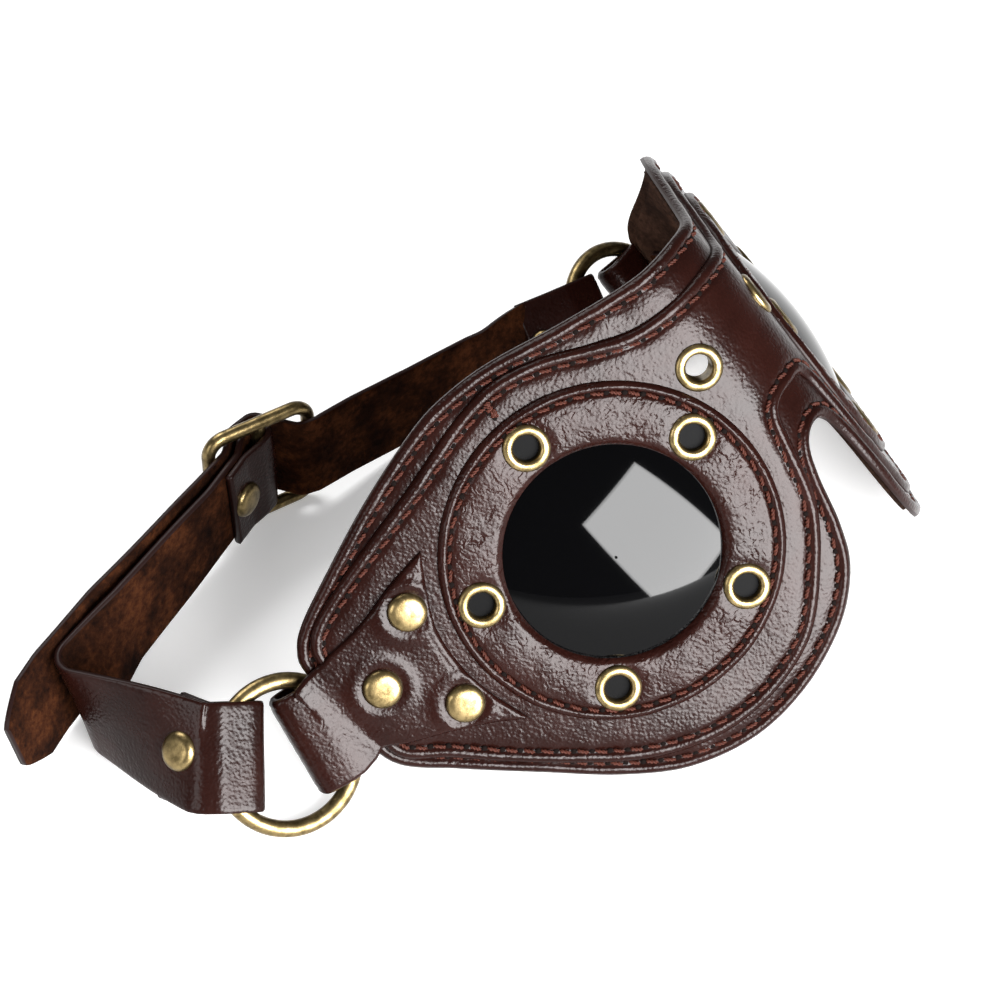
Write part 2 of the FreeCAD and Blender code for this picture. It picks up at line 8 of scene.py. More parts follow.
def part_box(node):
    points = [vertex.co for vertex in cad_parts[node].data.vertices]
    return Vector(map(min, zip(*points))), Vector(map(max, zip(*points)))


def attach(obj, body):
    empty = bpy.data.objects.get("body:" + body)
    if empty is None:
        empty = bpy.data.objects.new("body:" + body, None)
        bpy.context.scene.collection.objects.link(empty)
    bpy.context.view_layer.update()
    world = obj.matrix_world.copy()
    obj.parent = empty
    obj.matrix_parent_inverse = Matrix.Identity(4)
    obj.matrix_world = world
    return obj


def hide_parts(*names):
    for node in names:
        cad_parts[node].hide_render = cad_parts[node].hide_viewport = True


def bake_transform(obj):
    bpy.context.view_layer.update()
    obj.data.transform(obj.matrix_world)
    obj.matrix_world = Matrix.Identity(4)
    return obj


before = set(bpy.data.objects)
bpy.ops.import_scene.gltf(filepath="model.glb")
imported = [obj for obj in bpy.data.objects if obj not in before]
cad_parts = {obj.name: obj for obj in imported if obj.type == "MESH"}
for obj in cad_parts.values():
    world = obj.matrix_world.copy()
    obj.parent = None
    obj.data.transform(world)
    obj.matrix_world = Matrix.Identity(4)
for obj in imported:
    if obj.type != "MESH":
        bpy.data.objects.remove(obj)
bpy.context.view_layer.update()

# ---------------------------------------------------------------- the goggles' own measures, mm
# A mask point is (s, z, o): s along the leather from the nose (+ towards the wearer's left),
# z up the face, o out of the leather.  Table points are millimetres with the buckle's bar at BAR,
# and row() turns them into the row's metres.
# LEAN: the mask leans back from upright.  ALPHA: each half turns back from the nose, over a bend
# of radius BEND_R.  From CURL_S outwards the left temple curls in further, at radius CURL_R.
LEAN = math.radians(45.5)
ALPHA = math.radians(43.0)
BEND_R, MASK_HEIGHT = 16.0, 62.75
BEND_S = BEND_R * ALPHA
CURL_S, CURL_R = 71.0, 47.0
BAR = np.array([-31.0, 109.3, 14.7])
LENS_S, PATCH_R, OPENING_R, LENS_RISE = 48.65, 34.5, 21.75, 4.2
DOME_R, LENS_FLANGE_R, LENS_T = OPENING_R + 0.6, 31.0, 1.3
DOME_BALL_R = (DOME_R ** 2 + LENS_RISE ** 2) / (2 * LENS_RISE)
BASE_OPENING_R, LINING_OPENING_R, MID_OPENING_R = 26.0, 20.6, 31.2
EYELET_PITCH_R, BRIDGE_EYELET = 27.7, (13.0, 18.4)
BRIDGE_HOLE_R, LINING_HOLE_R, LINING_INSET = 3.0, 3.15, 2.6
TAB_RIVETS = ((87.0, 17.0), (100.6, 7.9), (90.0, -5.0))
# The layers' inner and outer heights o, from the lining outwards, and the tab's leaf behind the mask.
LINING, BASE, MID, PATCH, TAB = (-3.0, -2.0), (-2.0, -0.6), (-0.6, 0.7), (0.7, 2.0), (0.7, 2.3)
TAB_LEAF, TAB_MIDDLE = (-4.6, -3.0), (TAB[0] + TAB[1]) / 2
STRAP_WIDTH, STRAP_T, LOOP_V = 21.6, 1.7, 2.9
RING_R, RING_WIRE_R = 14.6, 1.7
BACK_CAP_SCALE = 0.85
STITCH_PITCH, STITCH_LENGTH = 3.6, 2.5
EDGE_STEP = 1.1

low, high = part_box("buckle_frame")
SHIFT = np.array((low + high) / 2) * 1000 - BAR


def row(points):
    """Table millimetres as row metres."""
    return (np.asarray(points, float) + SHIFT) / 1000


def surf(s, z, o):
    """Mask coordinates to table millimetres."""
    s, z, o = (np.asarray(v, float) for v in np.broadcast_arrays(s, z, o))
    side, a = np.where(s < 0, -1.0, 1.0), np.abs(s)
    turn = np.minimum(a, BEND_S) / BEND_R
    run = np.clip(a - BEND_S, 0, None)
    curl = np.where(s > CURL_S, (a - CURL_S) / CURL_R, 0.0)
    run = np.where(s > CURL_S, CURL_S - BEND_S, run)
    x = BEND_R * np.sin(turn) + run * math.cos(ALPHA)
    y = BEND_R - BEND_R * np.cos(turn) + run * math.sin(ALPHA)
    full = turn + curl
    x = x + np.where(curl > 0, CURL_R * (np.sin(full) - np.sin(turn)), 0) + o * np.sin(full)
    y = y - np.where(curl > 0, CURL_R * (np.cos(full) - np.cos(turn)), 0) - o * np.cos(full)
    x = x * side
    c, k = math.cos(LEAN), math.sin(LEAN)
    return np.stack([x, c * y + k * z, -k * y + c * z + MASK_HEIGHT], -1)


def surf_normal(s, z):
    """The mask's outward unit normal."""
    return surf(s, z, 1.0) - surf(s, z, 0.0)


def unit(v):
    return np.asarray(v, float) / np.linalg.norm(v)


def run_length(points):
    """Length along a path at each of its points."""
    return np.concatenate([[0], np.cumsum(np.linalg.norm(np.diff(points, axis=0), axis=1))])


def sample(at, length, table):
    """The rows of a table read at the given lengths."""
    return np.stack([np.interp(at, length, column) for column in table.T], -1)


def flat_points(verts):
    """(s, z) points as 3-D points, for ripple()."""
    return np.c_[verts, verts[:, :1] * 0]


# ---------------------------------------------------------------- noise
RNG = np.random.default_rng(7)
WAVES = RNG.normal(size=(3, 24, 3))
PHASES = RNG.uniform(0, 2 * math.pi, size=(3, 24))


def ripple(points, size, layer):
    """Smooth random height, mostly within 2 either way, with lumps of about the given size in mm."""
    p = np.asarray(points, float) / size
    waves = WAVES[layer] / np.linalg.norm(WAVES[layer], axis=1, keepdims=True)
    waves = waves * np.linspace(2.2, 4.2, len(waves))[:, None]
    return np.cos(p @ waves.T + PHASES[layer]).sum(-1) / 4.0


# ---------------------------------------------------------------- shaders
GRAIN_SCALE, CREASE_SCALE = 1500.0, 420.0


def node_tree(name):
    m = bpy.data.materials.new(name)
    m.use_nodes = True
    tree = m.node_tree
    return m, tree, tree.nodes["Principled BSDF"]


def new(tree, kind, **values):
    n = tree.nodes.new(kind)
    for key, value in values.items():
        if key in n.inputs:
            n.inputs[key].default_value = value
        else:
            setattr(n, key, value)
    return n


def texture(tree, kind, coords, **values):
    n = new(tree, kind, **values)
    tree.links.new(coords.outputs["Object"], n.inputs["Vector"])
    return n


def ramp(tree, source, stops):
    n = tree.nodes.new("ShaderNodeValToRGB")
    while len(n.color_ramp.elements) < len(stops):
        n.color_ramp.elements.new(0.5)
    for element, (place, colour) in zip(n.color_ramp.elements, stops):
        element.position = place
        element.color = (*colour, 1)
    tree.links.new(source, n.inputs["Fac"])
    return n


def leather(name, colours, rough, crease):
    """Leather with fine grain and creases; its colour drifts through the three given ones."""
    m, tree, bsdf = node_tree(name)
    link = tree.links.new
    coords = tree.nodes.new("ShaderNodeTexCoord")
    cells = texture(tree, "ShaderNodeTexVoronoi", coords, Scale=GRAIN_SCALE, feature="SMOOTH_F1")
    warp = texture(tree, "ShaderNodeTexNoise", coords, Scale=CREASE_SCALE * 0.6, Detail=3.0)
    mix = new(tree, "ShaderNodeMix", data_type="VECTOR")
    mix.inputs["Factor"].default_value = 0.012
    link(coords.outputs["Object"], mix.inputs[4])
    link(warp.outputs["Color"], mix.inputs[5])
    folds = new(tree, "ShaderNodeTexNoise", noise_type="RIDGED_MULTIFRACTAL", Scale=CREASE_SCALE,
                Detail=3.0)
    link(mix.outputs[1], folds.inputs["Vector"])
    broad = texture(tree, "ShaderNodeTexNoise", coords, Scale=55.0, Detail=4.0, Roughness=0.6)
    tint = ramp(tree, broad.outputs["Fac"], [(0.3, colours[0]), (0.5, colours[1]), (0.72, colours[2])])
    link(tint.outputs["Color"], bsdf.inputs["Base Color"])
    shine = new(tree, "ShaderNodeMapRange")
    link(broad.outputs["Fac"], shine.inputs["Value"])
    shine.inputs["To Min"].default_value = rough - 0.07
    shine.inputs["To Max"].default_value = rough + 0.09
    link(shine.outputs["Result"], bsdf.inputs["Roughness"])
    first = new(tree, "ShaderNodeBump", Strength=crease, Distance=0.0003, invert=True)
    link(folds.outputs["Fac"], first.inputs["Height"])
    second = new(tree, "ShaderNodeBump", Strength=0.45, Distance=0.00016, invert=True)
    link(cells.outputs["Distance"], second.inputs["Height"])
    link(first.outputs["Normal"], second.inputs["Normal"])
    link(second.outputs["Normal"], bsdf.inputs["Normal"])
    bsdf.inputs["Specular IOR Level"].default_value = 0.10
    return m


def suede(name, colours):
    """Blotched matt suede with a short nap; colours run from dark to light."""
    m, tree, bsdf = node_tree(name)
    link = tree.links.new
    coords = tree.nodes.new("ShaderNodeTexCoord")
    fine = texture(tree, "ShaderNodeTexNoise", coords, Scale=650.0, Detail=6.0, Roughness=0.7)
    broad = texture(tree, "ShaderNodeTexNoise", coords, Scale=120.0, Detail=3.0)
    blend = new(tree, "ShaderNodeMath", operation="MULTIPLY")
    link(fine.outputs["Fac"], blend.inputs[0])
    link(broad.outputs["Fac"], blend.inputs[1])
    tint = ramp(tree, blend.outputs["Value"], [(0.14, colours[0]), (0.25, colours[1]), (0.40, colours[2])])
    link(tint.outputs["Color"], bsdf.inputs["Base Color"])
    bsdf.inputs["Roughness"].default_value = 0.95
    bsdf.inputs["Specular IOR Level"].default_value = 0.03
    bump = new(tree, "ShaderNodeBump", Strength=0.8, Distance=0.0005)
    link(fine.outputs["Fac"], bump.inputs["Height"])
    link(bump.outputs["Normal"], bsdf.inputs["Normal"])
    return m


def metal(name, dark, bright):
    """Old metal: the brighter its colour, the smoother it is."""
    m, tree, bsdf = node_tree(name)
    link = tree.links.new
    coords = tree.nodes.new("ShaderNodeTexCoord")
    noise = texture(tree, "ShaderNodeTexNoise", coords, Scale=420.0, Detail=5.0, Roughness=0.65)
    tint = ramp(tree, noise.outputs["Fac"], [(0.38, dark), (0.62, bright)])
    link(tint.outputs["Color"], bsdf.inputs["Base Color"])
    bsdf.inputs["Metallic"].default_value = 1.0
    shine = new(tree, "ShaderNodeMapRange")
    link(noise.outputs["Fac"], shine.inputs["Value"])
    shine.inputs["To Min"].default_value = 0.46
    shine.inputs["To Max"].default_value = 0.24
    link(shine.outputs["Result"], bsdf.inputs["Roughness"])
    bump = new(tree, "ShaderNodeBump", Strength=0.25, Distance=0.0002)
    link(noise.outputs["Fac"], bump.inputs["Height"])
    link(bump.outputs["Normal"], bsdf.inputs["Normal"])
    return m


def plain(name, colour, rough, specular=0.06):
    m, _, bsdf = node_tree(name)
    bsdf.inputs["Base Color"].default_value = (*colour, 1)
    bsdf.inputs["Roughness"].default_value = rough
    bsdf.inputs["Specular IOR Level"].default_value = specular
    return m


BROWN = ((0.0098, 0.0025, 0.0017), (0.0150, 0.0037, 0.0025), (0.0215, 0.0056, 0.0039))
LEATHER = leather("outer_leather", BROWN, rough=0.25, crease=0.26)
CREASED = leather("creased_leather", BROWN, rough=0.27, crease=0.80)
STRAP_BROWN = ((0.0095, 0.0024, 0.0016), (0.0145, 0.0036, 0.0024), (0.0210, 0.0056, 0.0038))
STRAP_SKIN = leather("strap_leather", STRAP_BROWN, rough=0.27, crease=0.20)
SUEDE = suede("strap_suede", ((0.0055, 0.0016, 0.0007), (0.024, 0.0072, 0.0026), (0.066, 0.0205, 0.0070)))
LINING_SUEDE = suede("lining_suede", ((0.014, 0.007, 0.005), (0.030, 0.015, 0.010), (0.06, 0.03, 0.02)))
EDGE = plain("painted_edge", (0.014, 0.0042, 0.0032), 0.40, specular=0.12)
THREAD = plain("stitch_thread", (0.070, 0.021, 0.014), 0.5)
# Near-black: painted shade that stands for the hollow of each needle hole.
NEEDLE_HOLE_SHADE = plain("needle_hole_shade", (0.004, 0.0015, 0.001), 0.9)
BRASS = metal("antique_brass", (0.085, 0.062, 0.027), (0.25, 0.185, 0.085))
BLACK = plain("lens_black", (0.0008, 0.0008, 0.001), 0.04, specular=0.11)
BACKING = plain("eyelet_backing", (0.0006, 0.0006, 0.0008), 0.5, specular=0.03)


# ---------------------------------------------------------------- mesh helpers
def mesh(name, verts, faces, materials, indices=None):
    """A smooth-shaded object from table millimetres."""
    data = bpy.data.meshes.new(name)
    data.from_pydata([tuple(v) for v in row(verts)], [], [tuple(int(i) for i in f) for f in faces])
    for m in materials:
        data.materials.append(m)
    if indices is not None:
        data.polygons.foreach_set("material_index", np.asarray(indices, np.int32))
    data.polygons.foreach_set("use_smooth", [True] * len(data.polygons))
    data.update()
    obj = bpy.data.objects.new(name, data)
    bpy.context.scene.collection.objects.link(obj)
    return obj


def grid_faces(rows, cols, closed_cols=False, closed_rows=False):
    """Quads over a grid of vertices; a closed direction joins its last line to its first."""
    i, j = np.meshgrid(np.arange(rows if closed_rows else rows - 1),
                       np.arange(cols if closed_cols else cols - 1), indexing="ij")
    i, j = i.ravel(), j.ravel()
    i1, j1 = (i + 1) % rows, (j + 1) % cols
    return np.stack([i * cols + j, i * cols + j1, i1 * cols + j1, i1 * cols + j], -1)


def spline(points, step, closed=True):
    """Points evenly spaced along a smooth curve through the given points."""
    p = np.asarray(points, float)
    n = len(p)
    out = []
    for k in range(n if closed else n - 1):
        if closed:
            a, b, c, d = p[k - 1], p[k], p[(k + 1) % n], p[(k + 2) % n]
        else:
            a, b, c, d = p[max(k - 1, 0)], p[k], p[k + 1], p[min(k + 2, n - 1)]
        t = np.linspace(0, 1, 13)[:-1, None]
        out.append(0.5 * (2 * b + (c - a) * t + (2 * a - 5 * b + 4 * c - d) * t ** 2
                          + (3 * b - a - 3 * c + d) * t ** 3))
    out.append(p[:1] if closed else p[-1:])
    out = np.concatenate(out)
    length = run_length(out)
    count = max(2, round(length[-1] / step))
    at = np.linspace(0, length[-1], count + 1)
    if closed:
        at = at[:-1]
    return sample(at, length, out)


def loop_inset(loop, distance):
    """A closed clockwise or counter-clockwise loop moved inwards."""
    ahead, behind = np.roll(loop, -1, 0), np.roll(loop, 1, 0)
    t = ahead - behind
    t /= np.linalg.norm(t, axis=1, keepdims=True)
    n = np.stack([-t[:, 1], t[:, 0]], -1)
    x, y = loop.T
    area = np.sum(x * np.roll(y, -1) - y * np.roll(x, -1))
    return loop + n * (distance if area > 0 else -distance)


def edge_distance(points, loop):
    """Distance of each point from a closed loop."""
    a, b = loop, np.roll(loop, -1, 0)
    best = np.full(len(points), 1e9)
    for k in range(len(a)):
        d = b[k] - a[k]
        t = np.clip(((points - a[k]) @ d) / (d @ d), 0, 1)
        best = np.minimum(best, np.linalg.norm(points - a[k] - t[:, None] * d, axis=1))
    return best


def inside(points, loop):
    """Which points lie within a closed loop."""
    x, y = points.T
    hit = np.zeros(len(points), bool)
    a, b = loop, np.roll(loop, -1, 0)
    for (x0, y0), (x1, y1) in zip(a, b):
        if y0 == y1:
            continue
        cross = ((y0 > y) != (y1 > y)) & (x < (x1 - x0) * (y - y0) / (y1 - y0) + x0)
        hit ^= cross
    return hit


RING_DEPTHS, GRID_DEPTH = (0.35, 0.8, 1.4, 2.0, 2.6, 3.2, 4.0), 4.4


def fill(loop, holes, spacing):
    """Triangles over a loop less its holes: rings along the loop, an even grid within."""
    low, high = loop.min(0), loop.max(0)
    gx, gy = np.meshgrid(np.arange(low[0], high[0], spacing), np.arange(low[1], high[1], spacing))
    gx = gx + (np.arange(gx.shape[0]) % 2)[:, None] * spacing / 2
    grid = np.stack([gx.ravel(), gy.ravel()], -1)
    grid = grid[inside(grid, loop)]
    grid = grid[edge_distance(grid, loop) > GRID_DEPTH]
    rings = []
    for depth in RING_DEPTHS:
        ring = loop_inset(loop, depth)
        ring = ring[inside(ring, loop)]
        rings.append(ring[edge_distance(ring, loop) > 0.8 * RING_DEPTHS[0]])
    for hole in holes:
        grid = grid[~inside(grid, hole)]
        grid = grid[edge_distance(grid, hole) > spacing * 0.5]
    inner = np.concatenate(rings + [grid])
    for hole in holes:
        inner = inner[~inside(inner, hole)]
    every = np.concatenate([loop] + list(holes) + [inner])
    edges, start = [], 0
    for ring in [loop] + list(holes):
        edges += [(start + k, start + (k + 1) % len(ring)) for k in range(len(ring))]
        start += len(ring)
    got = geometry.delaunay_2d_cdt([Vector(p) for p in every], edges, [], 0, 1e-4)
    verts = np.array([tuple(v) for v in got[0]])
    faces = np.array([f for f in got[2] if len(f) == 3])
    middle = verts[faces].mean(1)
    ok = inside(middle, loop)
    for hole in holes:
        ok &= ~inside(middle, hole)
    faces = faces[ok]
    d1, d2 = verts[faces[:, 1]] - verts[faces[:, 0]], verts[faces[:, 2]] - verts[faces[:, 0]]
    flip = d1[:, 0] * d2[:, 1] - d1[:, 1] * d2[:, 0] < 0
    faces[flip] = faces[flip][:, ::-1]
    return verts, faces


def panel(name, loop, holes, height, back, place, materials, spacing):
    """A leather panel with a shaped outer face and a plain back.

    Three materials are outside, back and edge; with two, the second is both back and edge.
    """
    verts, faces = fill(loop, holes, spacing)
    edge = edge_distance(verts, loop)
    top = place(verts[:, 0], verts[:, 1], height(verts, edge))
    under = place(verts[:, 0], verts[:, 1], np.full(len(verts), back))
    n = len(verts)
    sides = dict.fromkeys((f[k], f[(k + 1) % 3]) for f in faces for k in range(3))
    rim = [(a, b) for a, b in sides if (b, a) not in sides]
    walls = [(b, a, a + n, b + n) for a, b in rim]
    all_faces = [tuple(f) for f in faces] + [tuple(f[::-1] + n) for f in faces] + walls
    index = [0] * len(faces) + [len(materials) - 1] * (len(faces) + len(walls))
    if len(materials) > 2:
        index = [0] * len(faces) + [1] * len(faces) + [2] * len(walls)
    return mesh(name, np.concatenate([top, under]), all_faces, materials, index)


def revolved(profile, centre, normal, turns=48):
    """Vertices and faces of a lathe profile of (radius, height) about a normal."""
    n = np.asarray(normal, float) / np.linalg.norm(normal)
    a = np.cross(n, [0.3, 0.9, 0.31])
    a /= np.linalg.norm(a)
    b = np.cross(n, a)
    t = np.linspace(0, 2 * math.pi, turns, endpoint=False)
    radius, height = np.array(profile, float).T
    ring = np.cos(t)[:, None] * a + np.sin(t)[:, None] * b
    verts = centre + radius[:, None, None] * ring + height[:, None, None] * n
    return verts.reshape(-1, 3), grid_faces(len(profile), turns, closed_cols=True)[:, ::-1]


def joined(name, pieces, material):
    """One object from several (vertices, faces) pieces."""
    verts, faces, start = [], [], 0
    for v, f in pieces:
        verts.append(v)
        faces += [tuple(int(i) + start for i in face) for face in f]
        start += len(v)
    return mesh(name, np.concatenate(verts), faces, [material])


def finish_piece(obj, body, slot, *nodes):
    """Puts a piece on its body, in place of the CAD nodes it replaces; slot is not used."""
    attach(obj, body)
    if nodes:
        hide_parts(*nodes)
    return obj


# ---------------------------------------------------------------- stitching
PLY_R, PLY_OFFSET, PLY_TURNS, PLY_SECTIONS, PLY_AROUND = 0.26, 0.2, 1.6, 9, 6
# The needle holes are low near-black discs: painted shade in place of hollow holes.
NEEDLE_HOLE_SHADE_PROFILE = [(0.62, -0.25), (0.5, 0.02), (0.25, 0.09), (0.01, 0.1)]


def thread(path, normals, first):
    """Twisted two-ply stitches laid along a closed path, and near-black discs of painted shade for the
    needle holes between them.
    """
    closed = np.concatenate([path, path[:1]])
    closed_n = np.concatenate([normals, normals[:1]])
    length = run_length(closed)
    count = round(length[-1] / STITCH_PITCH)
    pitch = length[-1] / count
    stitches, holes = [], []
    for k in range(count):
        middle = first + k * pitch
        reach = STITCH_LENGTH / 2 * (1 + 0.08 * math.sin(k * 2.3))
        at = np.linspace(middle - reach, middle + reach, PLY_SECTIONS) % length[-1]
        p = sample(at, length, closed)
        n = sample(at, length, closed_n)
        n /= np.linalg.norm(n, axis=1, keepdims=True)
        t = np.gradient(p, axis=0)
        t /= np.linalg.norm(t, axis=1, keepdims=True)
        side = np.cross(t, n)
        u = np.linspace(-1, 1, PLY_SECTIONS)
        lift = 0.30 * (1 - u ** 4) - 0.15
        wide = PLY_R * np.sqrt(np.clip(1.04 - u ** 6, 0.05, 1))
        slant = 0.22 * u
        for ply in (0, math.pi):
            twist = ply + u * math.pi * PLY_TURNS + k
            centre = p + n * (lift + PLY_OFFSET * np.cos(twist))[:, None]
            centre = centre + side * (slant + PLY_OFFSET * np.sin(twist))[:, None]
            a = np.linspace(0, 2 * math.pi, PLY_AROUND, endpoint=False)
            ring = np.cos(a)[None, :, None] * n[:, None] + np.sin(a)[None, :, None] * side[:, None]
            verts = (centre[:, None] + ring * wide[:, None, None]).reshape(-1, 3)
            faces = list(grid_faces(PLY_SECTIONS, PLY_AROUND, closed_cols=True))
            faces += [tuple(range(PLY_AROUND))[::-1],
                      tuple(range((PLY_SECTIONS - 1) * PLY_AROUND, PLY_SECTIONS * PLY_AROUND))]
            stitches.append((verts, faces))
        # In each gap between stitches, a near-black disc is painted shade for the needle hole.
        gap = (middle + pitch / 2) % length[-1]
        centre, up = sample(gap, length, closed), sample(gap, length, closed_n)
        holes.append(revolved(NEEDLE_HOLE_SHADE_PROFILE, centre, up, 10))
    return stitches, holes


def stitch_line(name, path_sz, height, first=0.0):
    """Stitches along (s, z) points of the mask at a height; first is how far along they start."""
    s, z = path_sz.T
    path = surf(s, z, height)
    normals = surf(s, z, height + 1.0) - path
    stitches, holes = thread(path, normals, first)
    finish_piece(joined(name, stitches, THREAD), "mask", "outer_leather")
    # The needle holes' near-black discs are painted shade.
    finish_piece(joined(name + "_hole_shades", holes, NEEDLE_HOLE_SHADE), "mask", "outer_leather")


# ---------------------------------------------------------------- mask outlines (s, z)
BASE_HALF = [(0, 40), (13, 39.8), (28, 41.8), (43, 44.6), (53, 45.2), (63, 44.0), (80, 38.5),
             (97, 31.2), (105.5, 27.0), (109.2, 23.6), (110.6, 19.5), (110.6, 6), (109.2, -6.5),
             (100, -16.2), (88, -27.5), (76, -38.5), (64, -46.4), (50, -49.9), (36, -48.2),
             (23, -42.4), (14.4, -34.4), (10.2, -25.5), (7.4, -15.0), (4.4, -8.6), (0, -6.7)]
MID_HALF = [(0, 32), (10, 31.7), (18.5, 32.4), (27, 35.6), (36, 39.6), (46, 41.7), (57, 40.2), (72, 35.6),
            (89, 31.0), (101, 27.0), (105.6, 24.0), (107.4, 20.0), (108, 7), (107.6, -5.4), (99.8, -12.6),
            (92, -20.4), (82, -29.4), (71, -38.0), (60, -43.2), (49.5, -45.0), (38.5, -43.7), (27.6, -38.8),
            (17.5, -28.0), (11.2, -18.0), (8.4, -7.8), (6.4, 0.2), (3.6, 2.5), (0, 2.8)]


def both_halves(half):
    """A closed loop over both halves from one half's points, which start and end at s = 0."""
    return half + [(-s, z) for s, z in half[-2:0:-1]]


def circle(s, z, radius, count):
    t = np.linspace(0, 2 * math.pi, count, endpoint=False)
    return np.stack([s + radius * np.cos(t), z + radius * np.sin(t)], -1)


BASE_LOOP = spline(both_halves(BASE_HALF), EDGE_STEP)
MID_LOOP = spline(both_halves(MID_HALF), EDGE_STEP)
BASE_STITCH, MID_STITCH, PATCH_STITCH_R = 2.7, 2.6, 32.3


def rolled(edge, stitch, puff):
    """Height of stitched leather by distance from its edge: rolled rim, pad, groove, swell."""
    rim = -0.55 * np.exp(-(edge / 0.45) ** 1.5)
    pad = puff * np.sin(np.clip(edge / stitch, 0, 1) * math.pi) ** 0.8
    groove = -0.38 * np.exp(-((edge - stitch) / 0.55) ** 2)
    swell = 0.55 * puff * (1 - np.exp(-np.clip(edge - stitch, 0, None) / 1.6))
    return rim + pad + groove + swell


def stitched(level, stitch, puff, wrinkle, size, layer):
    """The height function of a panel: rolled edge, cushions along its seam, broad wrinkles."""
    def height(verts, edge):
        flat = flat_points(verts)
        cushions = 0.10 * np.exp(-((edge - stitch) / 1.5) ** 2) * ripple(flat, STITCH_PITCH, 1)
        broad = wrinkle * ripple(flat, size, layer)
        return level + rolled(edge, stitch, puff) + cushions + broad * np.clip(edge / 2, 0, 1)
    return height


def plain_face(height):
    """The height function of a face without relief."""
    return lambda verts, edge: np.full(len(verts), height)


def openings(lens_radius, count, eyelet_radius):
    """The holes of a panel at both lenses and both bridge eyelets."""
    s, z = BRIDGE_EYELET
    lenses = [circle(side * LENS_S, 0, lens_radius, count) for side in (-1, 1)]
    return lenses + [circle(side * s, z, eyelet_radius, 28) for side in (-1, 1)]


# The knot of thread above each lens, beside s = BACK_TACK_S.
BACK_TACK = [(0.9, 39.2), (-0.9, 38.8), (0.8, 38.2), (-0.8, 37.6), (0.9, 37.0), (-0.7, 36.3),
             (0.6, 35.8), (0.1, 36.9), (-0.4, 38.1)]
BACK_TACK_S = 49.5


def build_mask():
    base = panel("base_leather", BASE_LOOP, openings(BASE_OPENING_R, 80, BRIDGE_HOLE_R),
                 stitched(BASE[1], BASE_STITCH, puff=0.75, wrinkle=0.08, size=14.0, layer=0), BASE[0], surf,
                 [LEATHER, LINING_SUEDE, EDGE], 2.2)
    finish_piece(base, "mask", "outer_leather", "base_panel")
    lining = panel("lining_suede", spline(loop_inset(BASE_LOOP, LINING_INSET), 1.6),
                   openings(LINING_OPENING_R, 70, LINING_HOLE_R), plain_face(LINING[1]), LINING[0], surf,
                   [LINING_SUEDE, LINING_SUEDE], 2.6)
    finish_piece(lining, "mask", "lining_suede", "lining")
    mid = panel("mid_leather", MID_LOOP, openings(MID_OPENING_R, 100, BRIDGE_HOLE_R),
                stitched(MID[1], MID_STITCH, puff=0.6, wrinkle=0.12, size=16.0, layer=2), MID[0], surf,
                [LEATHER, EDGE], 1.25)
    finish_piece(mid, "mask", "outer_leather", "mid_panel")
    stitch_line("base_stitching", loop_inset(BASE_LOOP, BASE_STITCH), BASE[1] + 0.05)
    stitch_line("mid_stitching", loop_inset(MID_LOOP, MID_STITCH), MID[1], first=1.3)
    for name, side in (("right", -1), ("left", 1)):
        path = spline([(side * BACK_TACK_S + a, z) for a, z in BACK_TACK], 0.7)
        stitch_line(name + "_back_tack", path, MID[1] + 0.3)


def patch_height(radius, s, z):
    """Height of the round patch: rolled down to the lens, puffed, creased and stitched."""
    outer, inner = PATCH_R - radius, radius - OPENING_R
    flat = np.stack([s, z, s * 0], -1)
    rim = -0.55 * np.exp(-(outer / 0.45) ** 1.5) - 1.15 * np.exp(-(inner / 0.7) ** 1.4)
    groove = -0.4 * np.exp(-((radius - PATCH_STITCH_R) / 0.55) ** 2)
    pad = 0.45 * np.sin(np.clip(outer / 2.2, 0, 1) * math.pi)
    body = 0.55 * np.sin(np.clip(inner / (PATCH_STITCH_R - OPENING_R), 0, 1) * math.pi) ** 0.5
    creases = 0.07 * ripple(flat, 6.0, 0) + 0.03 * ripple(flat, 3.0, 1)
    return PATCH[1] + rim + groove + pad + body + creases * np.clip(inner / 2, 0, 1)


def eyelet_places():
    """(s, z) of the left patch's eyelets: one at the top, then every 72 degrees."""
    turns = [math.radians(90 + 72 * k) for k in range(5)]
    return [(LENS_S - EYELET_PITCH_R * math.cos(t), EYELET_PITCH_R * math.sin(t)) for t in turns]


def build_patch(name, side):
    radii = np.concatenate([[OPENING_R, OPENING_R + 0.15, OPENING_R + 0.4],
                            np.linspace(OPENING_R + 0.8, PATCH_R - 0.8, 42),
                            [PATCH_R - 0.4, PATCH_R - 0.15, PATCH_R]])
    turn = np.linspace(0, 2 * math.pi, 260, endpoint=False)
    radius, turn = np.meshgrid(radii, turn, indexing="ij")
    s, z = side * LENS_S + radius * np.cos(turn), radius * np.sin(turn)
    top = patch_height(radius, s, z)
    for es, ez in eyelet_places():
        away = np.hypot(s - side * es, z - ez)
        top = np.where(away < EYELET_SEAT_R, PATCH[0], top - 0.55 * np.exp(-(away / 5.2) ** 6))
    verts = surf(s, z, top)
    under = surf(s[[0, -1]], z[[0, -1]], np.array([[PATCH[0] - 0.9], [PATCH[0] - 0.1]]))
    verts = np.concatenate([under[:1], verts, under[1:]])
    rows, cols = verts.shape[:2]
    faces = grid_faces(rows, cols, closed_cols=True, closed_rows=True)
    ring = np.arange(len(faces)) // cols
    index = np.where((ring == 0) | (ring >= rows - 2), 1, 0)
    patch = mesh(name + "_patch_leather", verts.reshape(-1, 3), faces, [CREASED, EDGE], index)
    finish_piece(patch, "mask", "outer_leather", name + "_lens_patch")
    path = circle(side * LENS_S, 0, PATCH_STITCH_R, 160)
    stitch_line(name + "_patch_stitching", path, PATCH[1])
    build_eyelets(name, side)
    build_lens(name, side)


# (radius, height) of an eyelet, and the radius under its flange within which the patch dips.
EYELET_PROFILE = [(2.55, -2.2), (2.6, -0.3), (2.7, 0.35), (2.95, 0.75), (3.35, 0.95), (3.85, 0.95),
                  (4.35, 0.75), (4.68, 0.4), (4.8, 0.0), (4.7, -0.25)]
EYELET_SEAT_R = 3.5


